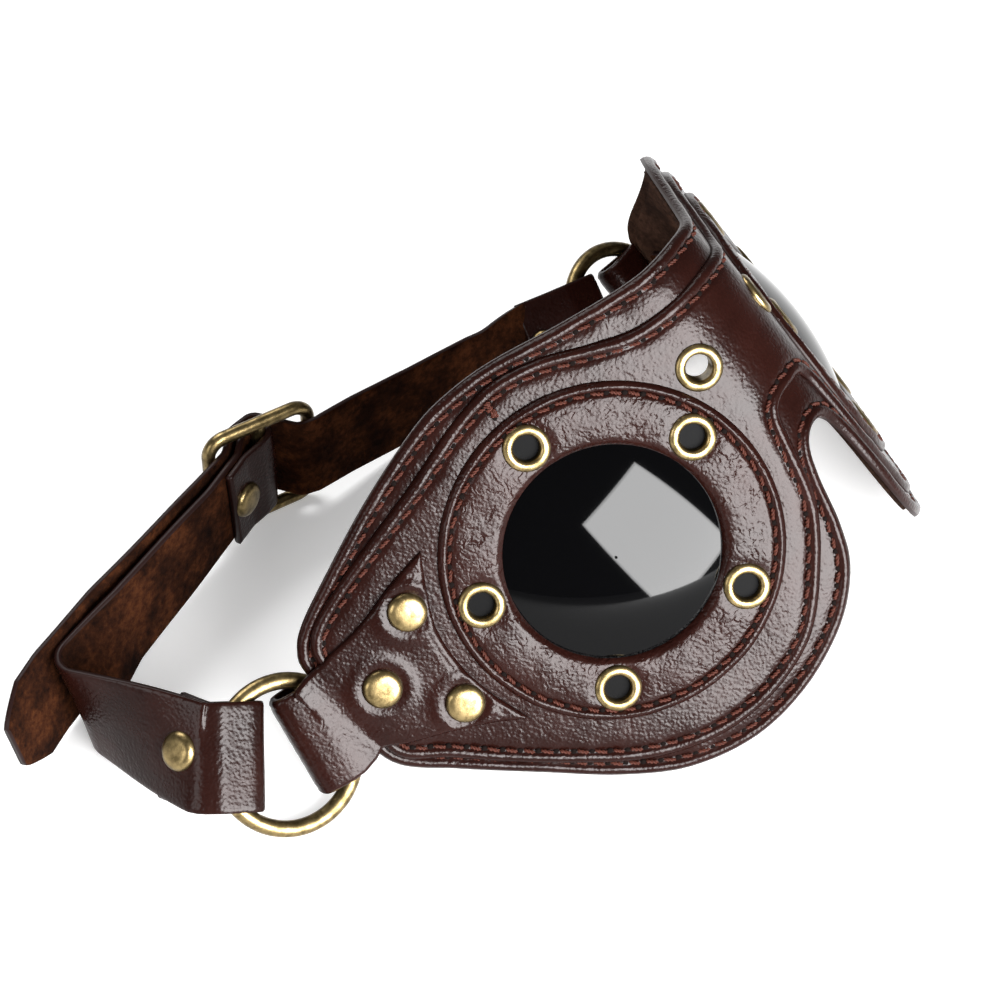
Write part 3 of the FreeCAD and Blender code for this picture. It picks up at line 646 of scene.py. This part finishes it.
def build_eyelets(name, side):
    rings, backs = [], []
    for s, z in eyelet_places():
        centre, up = surf(side * s, z, PATCH[1]), surf_normal(side * s, z)
        rings.append(revolved(EYELET_PROFILE, centre, up))
        backs.append(revolved([(2.62, -1.0), (0.01, -1.0)], centre, up, 24))
    obj = joined(name + "_eyelet_rings", rings, BRASS)
    finish_piece(obj, "mask", "antique_brass", name + "_patch_eyelets")
    finish_piece(joined(name + "_eyelet_backing", backs, BACKING), "mask", "lens_black")


def build_lens(name, side):
    """A dome on a flat flange, which lies in the mid leather's opening and under the patch."""
    seat = MID[1] - 0.1
    crown = MID[1] + LENS_RISE - DOME_BALL_R
    flange = [(LENS_FLANGE_R, MID[0]), (LENS_FLANGE_R, seat), (DOME_R, seat)]
    dome = [(r, crown + math.sqrt(DOME_BALL_R ** 2 - r ** 2)) for r in np.linspace(DOME_R, 0.01, 60)]
    back = [(r, h - LENS_T) for r, h in dome[::-1]]
    centre, up = surf(side * LENS_S, 0, 0), surf_normal(side * LENS_S, 0)
    obj = joined(name + "_lens_dome", [revolved(flange + dome + back, centre, up, 160)], BLACK)
    finish_piece(obj, "mask", "lens_black", name + "_lens")


def build_bridge_eyelets():
    rings = []
    s, z = BRIDGE_EYELET
    through = [(2.6, -4.6)] + [(r, h) for r, h in EYELET_PROFILE if h > -2]
    for side in (-1, 1):
        rings.append(revolved(through, surf(side * s, z, MID[1] + 0.25), surf_normal(side * s, z)))
    obj = joined("bridge_eyelet_rings", rings, BRASS)
    finish_piece(obj, "mask", "antique_brass", "bridge_eyelets")


# ---------------------------------------------------------------- leather strips
class Frame:
    """Axes of a ring's loop: u away from the ring's middle, w across the strap, n out of the ring."""

    def __init__(self, origin, u, w):
        self.origin = np.array(origin, float)
        self.w = np.array(w, float) / np.linalg.norm(w)
        u = np.array(u, float) - self.w * np.dot(u, self.w)
        self.u = u / np.linalg.norm(u)
        self.n = np.cross(self.u, self.w)

    def at(self, u, v, across=0.0):
        return self.origin + self.u * u + self.n * v + self.w * across


RIGHT_RING_AT, LEFT_RING_AT = (-93.5, 62.2, 12.7), (54.5, 66.0, 12.2)
RIGHT_TAB = Frame(RIGHT_RING_AT, (0.938, -0.339, 0.064), (0.184, 0.648, 0.738))
RIGHT_STRAP = Frame(RIGHT_RING_AT, (-0.711, 0.626, 0.321), (0.640, 0.389, 0.662))
LEFT_TAB = Frame(LEFT_RING_AT, (0.995, -0.07, 0.07), (0.0, 0.714, 0.70))
LEFT_STRAP = Frame(LEFT_RING_AT, (-0.935, 0.31, 0.17), (0.34, 0.647, 0.68))
# Along a loop's u: the strap's turn inside the ring, where its two leaves start to close, and the
# knee where they meet.  LEAF_GAP is half the distance between the leaves' middles.
LOOP_TURN, LOOP_MOUTH, KNEE, LEAF_GAP = 6.05, 15.0, 18.5, 0.95
FOLD_LENGTH, RIVET_ALONG, STATION_STEP = 8.5, 5.0, 0.8
# Where each strap heads from its seam.
RIGHT_TARGET, LEFT_TARGET = (-103.6, 108.0, 11.3), (21.0, 85.0, 11.4)


class Seam:
    """Where the two leaves round a ring meet, are riveted and run on towards a target."""

    def __init__(self, frame_, main_side, shift, target):
        self.corner = frame_.at(KNEE, main_side * LEAF_GAP)
        run = unit(np.array(target) - self.corner)
        self.fold_corner = frame_.at(KNEE + shift, -main_side * LEAF_GAP)
        self.fold_end = self.fold_corner + run * FOLD_LENGTH
        self.normal = unit(np.cross(run, frame_.w))
        if np.dot(self.normal, frame_.n) * main_side < 0:
            self.normal = -self.normal
        self.rivet = self.corner + run * RIVET_ALONG


RIGHT_SEAM = Seam(RIGHT_STRAP, -1, -1.2, RIGHT_TARGET)
LEFT_SEAM = Seam(LEFT_STRAP, 1, 0.45, LEFT_TARGET)


def rounded(points, across, radii):
    """Stations along a polyline whose inner corners become arcs: length, point, across, out."""
    points = [np.asarray(p, float) for p in points]
    across = [unit(a) for a in across]
    dots, waist = [points[0]], [across[0]]
    for k in range(1, len(points) - 1):
        p, r = points[k], radii[k - 1]
        a, b = unit(points[k - 1] - p), unit(points[k + 1] - p)
        half = math.acos(max(-1.0, min(1.0, float(a @ b)))) / 2
        centre = p + unit(a + b) * (r / math.sin(half))
        side = -unit(a + b)
        start = p + a * (r / math.tan(half)) - centre
        flat = unit(start - side * (start @ side))
        sweep = math.pi / 2 - half
        for t in np.linspace(-sweep, sweep, 9):
            dots.append(centre + side * (r * math.cos(t)) - flat * (r * math.sin(t)))
            waist.append(across[k])
    dots.append(points[-1])
    waist.append(across[-1])
    dots, waist = np.array(dots), np.array(waist)
    gaps = np.linalg.norm(np.diff(dots, axis=0), axis=1)
    keep = np.concatenate([[True], gaps > 1e-3])
    dots, waist = dots[keep], waist[keep]
    length = run_length(dots)
    at = np.linspace(0, length[-1], max(2, round(length[-1] / STATION_STEP)))
    dots, waist = sample(at, length, dots), sample(at, length, waist)
    kernel = np.array([1, 2, 3, 2, 1]) / 9.0
    for i in range(3):
        padded = np.pad(waist[:, i], 2, mode="edge")
        waist[:, i] = np.convolve(padded, kernel, "valid")
    along = np.gradient(dots, axis=0)
    along /= np.linalg.norm(along, axis=1, keepdims=True)
    waist -= along * (waist * along).sum(1, keepdims=True)
    waist /= np.linalg.norm(waist, axis=1, keepdims=True)
    return at, dots, waist, np.cross(along, waist)


class Strip:
    """A strip's route: place(l, t, o) gives the point at length l, offset t across, o out."""

    def __init__(self, points, across, radii, outward=None):
        self.at, self.dots, self.waist, self.out = rounded(points, across, radii)
        if outward is not None and float(self.out[0] @ np.asarray(outward)) < 0:
            self.out = -self.out
        self.length = self.at[-1]

    def place(self, along, t, o):
        along, t, o = (np.asarray(v, float) for v in np.broadcast_arrays(along, t, o))
        point, waist, out = (sample(along, self.at, v) for v in (self.dots, self.waist, self.out))
        return point + waist * t[..., None] + out * o[..., None]


def strip_mesh(name, strip, materials, tip=None):
    """A strap with rolled, creased edges; materials are outside, inside and edge."""
    half = STRAP_WIDTH / 2
    t = np.concatenate([-half + np.array([0.0, 0.12, 0.4, 0.9, 1.5, 2.1]),
                        np.linspace(-half + 3.2, half - 3.2, 12),
                        half - np.array([2.1, 1.5, 0.9, 0.4, 0.12, 0.0])])
    edge = half - np.abs(t)
    top = STRAP_T / 2 - 0.4 * np.exp(-(edge / 0.35) ** 1.3) - 0.12 * np.exp(-((edge - 1.5) / 0.4) ** 2)
    low = -STRAP_T / 2 + 0.3 * np.exp(-(edge / 0.3) ** 1.3)
    section_t = np.concatenate([t, t[::-1]])
    section_o = np.concatenate([top, low[::-1]])
    grid_l, grid_t = np.meshgrid(strip.at, section_t, indexing="ij")
    grid_o = np.broadcast_to(section_o, grid_l.shape).copy()
    if tip:
        share = np.clip((strip.length - grid_l) / tip, 0, 1)
        grid_t = grid_t * (0.5 + 0.5 * share ** 0.8)
    grid_o = grid_o + 0.10 * ripple(np.stack([grid_l, grid_t, grid_l * 0], -1), 14.0, 0)
    verts = strip.place(grid_l, grid_t, grid_o)
    rows, cols = grid_l.shape
    faces = grid_faces(rows, cols, closed_cols=True)
    column = np.arange(len(faces)) % cols
    n = len(t)
    index = np.where(column < n - 1, 0, np.where((column >= n) & (column < cols - 1), 1, 2))
    index[(column < 2) | ((column >= n - 3) & (column < n))] = 2
    ends = [tuple(range(cols))[::-1], tuple(range((rows - 1) * cols, rows * cols))]
    all_faces = [tuple(f) for f in faces] + ends
    return mesh(name, verts.reshape(-1, 3), all_faces, materials, list(index) + [2, 2])


# (radius, height) of a rivet cap, from its middle outwards.
CAP_PROFILE = [(0.01, 1.62), (1.2, 1.60), (2.2, 1.54), (2.9, 1.40), (3.4, 1.14), (3.75, 0.8), (3.95, 0.4),
               (4.0, 0.08), (3.95, -0.15)]


def cap(centre, normal, scale=1.0):
    """A rivet cap standing on a point of the leather."""
    return revolved([(r * scale, h * scale) for r, h in CAP_PROFILE[::-1]], centre, normal, 48)


def build_strap_rivets():
    for name, seam in (("right_ring_rivet", RIGHT_SEAM), ("left_ring_rivet", LEFT_SEAM)):
        front = cap(seam.rivet + seam.normal * STRAP_T / 2, seam.normal)
        back = cap(seam.rivet - seam.normal * (STRAP_T * 1.5 + 0.2), -seam.normal, BACK_CAP_SCALE)
        obj = joined(name + "_caps", [front, back], BRASS)
        finish_piece(obj, "strap", "antique_brass", name)
    chape = cap(CHAPE_RIVET, (0, -1, 0))
    finish_piece(joined("chape_rivet_cap", [chape], BRASS), "strap", "antique_brass", "chape_rivet")


CHAPE_RIVET = np.array([-40.4, 106.75, 14.3])
BUCKLE_TURN = math.radians(-28)
HEADING = np.array([math.cos(BUCKLE_TURN), math.sin(BUCKLE_TURN), 0])
OUTWARD = np.array([-HEADING[1], HEADING[0], 0])
UP = (0, 0, 1)


def buckle_at(h, q):
    """A point of the buckle: h along its heading from the bar, q out of its plane."""
    return BAR + HEADING * h + OUTWARD * q


def ring_loop(f, seam, start):
    """The route round a ring, from the folded end to the seam; start is +1 or -1, its side of n."""
    v = start * LOOP_V
    return [seam.fold_end, seam.fold_corner, f.at(LOOP_MOUTH, v), f.at(LOOP_TURN, v),
            f.at(LOOP_TURN, -v), f.at(LOOP_MOUTH, -v), seam.corner]


def build_straps():
    """Both straps: round a ring, along the floor, and round or through the buckle."""
    f = RIGHT_STRAP
    points = ring_loop(f, RIGHT_SEAM, 1)
    points += [RIGHT_TARGET, (-80, 109.6, 12.0), (-50, 109.3, 13.6), (-38.5, 109.6, 14.4),
               (-33.5, 111.75, 14.7), (-28.55, 111.75, 14.7), (-28.55, 106.85, 14.7),
               (-33.5, 106.85, 14.7), (-38.2, 107.75, 14.4), (-44.5, 107.5, 14.0)]
    across = [f.w] * 7 + [(0.1, 0.40, 0.91), (0, 0.12, 0.99)] + [UP] * 8
    radii = [1.5, 2.5, 2.7, 2.7, 2.5, 3.2, 6.5, 10, 10, 4, 3, 2.45, 2.45, 3, 4]
    obj = strip_mesh("buckle_strap_leather", Strip(points, across, radii), [SUEDE, STRAP_SKIN, EDGE])
    finish_piece(obj, "strap", "strap_leather", "buckle_strap")
    f = LEFT_STRAP
    points = ring_loop(f, LEFT_SEAM, -1)
    points += [LEFT_TARGET, (1, 93.8, 12.4), (-12, 98.0, 13.9), buckle_at(12.0, -3.1),
               buckle_at(8.3, -2.6), (-27.0, 113.6, 14.7), (-33.5, 114.7, 14.7), (-39.5, 111.9, 14.7),
               (-62, 112.4, 14.0), (-85, 113.2, 12.8), (-103, 112.8, 11.9), (-110, 111.9, 11.6),
               (-118, 110.7, 11.4)]
    across = [f.w] * 7 + [(0, 0.12, 0.99)] + [UP] * 7
    across += [(0, 0.05, 1), (0, 0.15, 1), (0, 0.2, 1), (0, 0.2, 1), (0, 0.2, 1)]
    radii = [3, 2.5, 2.7, 2.7, 2.5, 3, 20, 15, 12, 2, 2.2, 2.4, 3.5, 3.5, 15, 15, 15, 10]
    obj = strip_mesh("long_strap_leather", Strip(points, across, radii), [STRAP_SKIN, SUEDE, EDGE], tip=8)
    finish_piece(obj, "strap", "strap_leather", "long_strap")


# ---------------------------------------------------------------- tabs
# A tab's outline on the mask (s, z): its upper and lower edges narrow to the strap's width, whose
# edges run on from TAB_UPPER_S and TAB_LOWER_S, and its hollow side follows the patch.
TAB_UPPER = [(77.4, 24.6), (86, 23.2), (96, 20.6), (104, 19.8)]
TAB_UPPER_S, TAB_LOWER_S = 106.5, 108.0
TAB_LOWER = [(104, -4.4), (100, -6.2), (91, -10.4), (82.2, -16.2)]
TAB_HOLLOW = [(82.2, -16.2), (85.1, -6.0), (85.9, 2.5), (84.3, 12.0), (77.4, 24.6)]
TAB_LEAF_CORNERS = [(95.0, -3.5), (106.0, -1.5), (104.6, 17.6), (93.0, 15.2)]


class TabRoute:
    """Places points of a tab: on the mask up to s = LEAVE, then along its own strip to its end."""

    LEAVE, MIDDLE = 110.4, 8.5

    def __init__(self, side, strip):
        self.side, self.strip = side, strip

    def place(self, s, z, o):
        s, z, o = (np.asarray(v, float) for v in np.broadcast_arrays(s, z, o))
        on_mask = surf(self.side * s, z, o)
        along = s - self.LEAVE
        off = self.strip.place(np.clip(along, 0, None), z - self.MIDDLE, o - TAB_MIDDLE)
        off = off + unit(self.strip.dots[1] - self.strip.dots[0]) * np.minimum(along, 0)[..., None]
        share = np.clip((along + 4.0) / 7.0, 0, 1)[..., None]
        share = share * share * (3 - 2 * share)
        return on_mask * (1 - share) + off * share


def tab_height(verts, edge):
    """Height of a tab: a rolled edge with a crease, wrinkles, and a dimple round each rivet."""
    out = TAB[1] - 0.7 * np.exp(-(edge / 0.4) ** 1.4) - 0.15 * np.exp(-((edge - 1.5) / 0.45) ** 2)
    out = out + 0.07 * ripple(flat_points(verts), 12.0, 0) * np.clip(edge / 2, 0, 1)
    for s, z in TAB_RIVETS:
        away = np.hypot(verts[:, 0] - s, verts[:, 1] - z)
        out = out + 0.5 * np.exp(-((away - 5.6) / 1.0) ** 2) - 0.25 * np.exp(-(away / 4.2) ** 4)
    return out


def build_tab(name, side, strip, blend_from):
    """A tab with its loop, which bends between two points, its rivets and the leaf behind the mask."""
    route = TabRoute(side, strip)
    end = TabRoute.LEAVE + strip.length
    top, bottom = route.MIDDLE + STRAP_WIDTH / 2, route.MIDDLE - STRAP_WIDTH / 2
    upper = np.array([(x, top) for x in np.arange(TAB_UPPER_S, end, 1.0)] + [(end, top)])
    lower = np.array([(x, bottom) for x in np.arange(end, TAB_LOWER_S, -1.0)])
    loop = np.concatenate([spline(TAB_UPPER, 1.0, False), upper, lower,
                           spline(TAB_LOWER, 1.0, False), spline(TAB_HOLLOW, 1.0, False)[1:-1]])
    step = np.linalg.norm(loop - np.roll(loop, 1, 0), axis=1)
    loop = loop[step > 0.25]
    obj = panel(name + "_tab_leather", loop, [], tab_height, TAB[0], route.place,
                [LEATHER, SUEDE, EDGE], 1.2)
    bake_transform(obj)
    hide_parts(name + "_tab_loop")
    caps = []
    for s, z in TAB_RIVETS:
        caps.append(cap(surf(side * s, z, TAB[1] - 0.05), surf_normal(side * s, z)))
        inner_face = TAB_LEAF[0] if s > TAB_LEAF_CORNERS[0][0] else LINING[0]
        caps.append(cap(surf(side * s, z, inner_face), -surf_normal(side * s, z), BACK_CAP_SCALE))
    finish_piece(joined(name + "_tab_caps", caps, BRASS), "mask", "antique_brass", name + "_tab_rivets")
    sides = zip(TAB_LEAF_CORNERS, TAB_LEAF_CORNERS[1:] + TAB_LEAF_CORNERS[:1])
    back_loop = spline(np.concatenate([np.linspace(a, b, 8)[:-1] for a, b in sides]), 1.0)
    leaf = panel(name + "_tab_back", back_loop, [], plain_face(TAB_LEAF[1]), TAB_LEAF[0],
                 lambda s, z, o: surf(side * s, z, o), [LEATHER, SUEDE, EDGE], 2.0)
    finish_piece(leaf, "mask", "outer_leather", name + "_strap_tab")


# The left tab turns at s = LEFT_EDGE_S, at z = BEND_Z, where it stands off
# the ring's middle across the strap, and keeps LOOP_CENTRING of that as it goes round the ring.
BEND_START, BEND_Z, LEFT_EDGE_S, LOOP_CENTRING = 109.0, 9.0, 112.6, 0.35


def build_tabs():
    """Both tabs, each on a route from the mask round its ring."""
    f = RIGHT_TAB
    elbow = f.at(8.6, 5.4)
    points = [surf(-TabRoute.LEAVE, TabRoute.MIDDLE, TAB_MIDDLE), elbow, f.at(2.2, 2.8),
              f.at(3.2, -LOOP_V), f.at(15.0, -LOOP_V)]
    strip = Strip(points, [unit((0.09, 0.70, 0.71)), f.w, f.w, f.w, f.w], [3.0, 2.3, 2.3],
                  surf_normal(-TabRoute.LEAVE, TabRoute.MIDDLE))
    build_tab("right", -1, strip, surf(-BEND_START, BEND_Z, TAB_MIDDLE))
    f = LEFT_TAB
    edge = surf(LEFT_EDGE_S, BEND_Z, TAB_MIDDLE)
    rise = float((edge - f.origin) @ f.w)
    loop_rise = rise * LOOP_CENTRING
    elbow = f.at(float((edge - f.origin) @ f.u) + 0.6, -LOOP_V, rise)
    points = [surf(TabRoute.LEAVE, BEND_Z, TAB_MIDDLE), elbow, f.at(1.8, -LOOP_V, loop_rise),
              f.at(1.8, LOOP_V, loop_rise), f.at(12.0, LOOP_V, loop_rise)]
    strip = Strip(points, [f.w] * 5, [1.4, 2.7, 2.7], surf_normal(TabRoute.LEAVE, TabRoute.MIDDLE))
    build_tab("left", 1, strip, surf(BEND_START, BEND_Z, TAB_MIDDLE))


# ---------------------------------------------------------------- metal
def build_ring(name, frame_):
    around, about_wire = 120, 24
    t = np.linspace(0, 2 * math.pi, around, endpoint=False)
    a = np.linspace(0, 2 * math.pi, about_wire, endpoint=False)
    spoke = np.cos(t)[:, None] * frame_.u + np.sin(t)[:, None] * frame_.w
    centre = frame_.origin + spoke * RING_R
    tube = np.cos(a)[None, :, None] * spoke[:, None] + np.sin(a)[None, :, None] * frame_.n
    verts = (centre[:, None] + tube * RING_WIRE_R).reshape(-1, 3)
    obj = mesh(name + "_wire", verts, grid_faces(around, about_wire, True, True), [BRASS])
    finish_piece(obj, name, "antique_brass", name)


def paint_cad():
    """Brass on the nodes that are shown as they come from CAD."""
    for name in ("bridge_washers", "buckle_frame", "buckle_prong"):
        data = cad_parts[name].data
        data.materials.clear()
        data.materials.append(BRASS)


# ---------------------------------------------------------------- light, floor and camera
# The camera stands at CAMERA_AT (table mm) and looks against TO_CAMERA.
CAMERA_AT = np.array([-370.5, -144.85, 443.1])
TO_CAMERA = Vector((-0.6005, -0.3440, 0.7218))
FOCAL_LENGTH, SENSOR_WIDTH = 100.0, 36.0
# The soft box's corners as its reflection shows them in the near lens, mm from the lens's middle,
# and its distance in metres.  The gloss light stands a share of that distance nearer.
BOX_CORNERS = ((0, 10), (-16, 11), (-17, -12), (0, -16))
BOX_DISTANCE, GLOSS_ADVANCE = 0.62, 0.04
KEY_RADIANCE, GLOSS_RADIANCE, FLOOR_GLOW, WORLD_STRENGTH = 16.0, 34.0, 0.35, 0.22
FLOOR_HALF = 6.0
# Name, place, target (row metres), width, height, watts.
FILL_LIGHTS = (("back_box", (0.35, 0.75, 0.85), (0, 0, 0.03), 0.7, 0.5, 10.0),
               ("side_box", (-0.75, 0.35, 0.35), (0, 0, 0.04), 0.35, 0.35, 3.0))


def area_light(name, at, target, width, height, power):
    data = bpy.data.lights.new(name, "AREA")
    data.shape = "RECTANGLE"
    data.size, data.size_y = width, height
    data.energy = power
    obj = bpy.data.objects.new(name, data)
    bpy.context.scene.collection.objects.link(obj)
    obj.location = at
    obj.rotation_euler = (Vector(target) - Vector(at)).to_track_quat("-Z", "Y").to_euler()
    return obj


def mirrored(u, v, distance):
    """Where a light must stand, in row metres, to show in the near dome at lens place (u, v) mm."""
    facing = surf_normal(-LENS_S, 0)
    across = surf(-LENS_S - u, v, 0) - surf(-LENS_S, 0, 0)
    normal = unit(facing * math.sqrt(DOME_BALL_R ** 2 - u * u - v * v) + across)
    at = surf(-LENS_S - u, v, LENS_RISE)
    away = unit(CAMERA_AT - at)
    out = 2 * normal * float(normal @ away) - away
    return row(at + out * distance * 1000)


def soft_box():
    """The key light, a rectangle whose reflection shows tilted in the near lens.

    The second light in front of it lights no diffuse surface, so it only brightens reflections.
    """
    corners = [mirrored(u, v, BOX_DISTANCE) for u, v in BOX_CORNERS]
    centre = sum(corners) / 4
    long_way = corners[1] - corners[0] + corners[2] - corners[3]
    short_way = corners[3] - corners[0] + corners[2] - corners[1]
    width, height = np.linalg.norm(long_way) / 2, np.linalg.norm(short_way) / 2
    watts = math.pi * width * height
    lens = row(surf(-LENS_S, 0, LENS_RISE))
    x = Vector(long_way).normalized()
    z = Vector(centre - lens).normalized()
    y = z.cross(x).normalized()
    x = y.cross(z)
    light = area_light("soft_box", centre, lens, width, height, KEY_RADIANCE * watts)
    light.rotation_euler = Matrix((x, y, z)).transposed().to_euler()
    nearer = centre + (lens - centre) * GLOSS_ADVANCE
    gloss = area_light("soft_box_core", nearer, lens, width, height, GLOSS_RADIANCE * watts)
    gloss.rotation_euler = light.rotation_euler
    gloss.visible_diffuse = False


def build_stage():
    """A pale floor that glows a little, the world's light and the lamps."""
    data = bpy.data.meshes.new("floor")
    corners = [(FLOOR_HALF * x, FLOOR_HALF * y, 0) for x, y in ((-1, -1), (1, -1), (1, 1), (-1, 1))]
    data.from_pydata(corners, [], [(0, 1, 2, 3)])
    white = plain("white_floor", (0.9, 0.9, 0.9), 0.7)
    shader = white.node_tree.nodes["Principled BSDF"].inputs
    shader["Emission Color"].default_value = (1, 1, 1, 1)
    shader["Emission Strength"].default_value = FLOOR_GLOW
    shader["Specular IOR Level"].default_value = 0.0
    data.materials.append(white)
    floor = bpy.data.objects.new("floor", data)
    bpy.context.scene.collection.objects.link(floor)
    world = bpy.data.worlds.new("studio")
    bpy.context.scene.world = world
    world.use_nodes = True
    background = world.node_tree.nodes["Background"].inputs
    background["Color"].default_value = (1, 1, 1, 1)
    background["Strength"].default_value = WORLD_STRENGTH
    bpy.context.scene.view_settings.view_transform = "Standard"
    soft_box()
    for light in FILL_LIGHTS:
        area_light(*light)


def build_camera():
    data = bpy.data.cameras.new("camera")
    data.lens, data.sensor_width = FOCAL_LENGTH, SENSOR_WIDTH
    data.clip_start, data.clip_end = 0.01, 50.0
    obj = bpy.data.objects.new("camera", data)
    bpy.context.scene.collection.objects.link(obj)
    obj.location = Vector(row(CAMERA_AT))
    obj.rotation_euler = (-TO_CAMERA).to_track_quat("-Z", "Y").to_euler()
    bpy.context.scene.camera = obj


build_mask()
for patch_name, patch_side in (("right", -1), ("left", 1)):
    build_patch(patch_name, patch_side)
build_bridge_eyelets()
build_tabs()
build_straps()
build_strap_rivets()
build_ring("right_ring", RIGHT_TAB)
build_ring("left_ring", LEFT_TAB)
paint_cad()
build_stage()
build_camera()
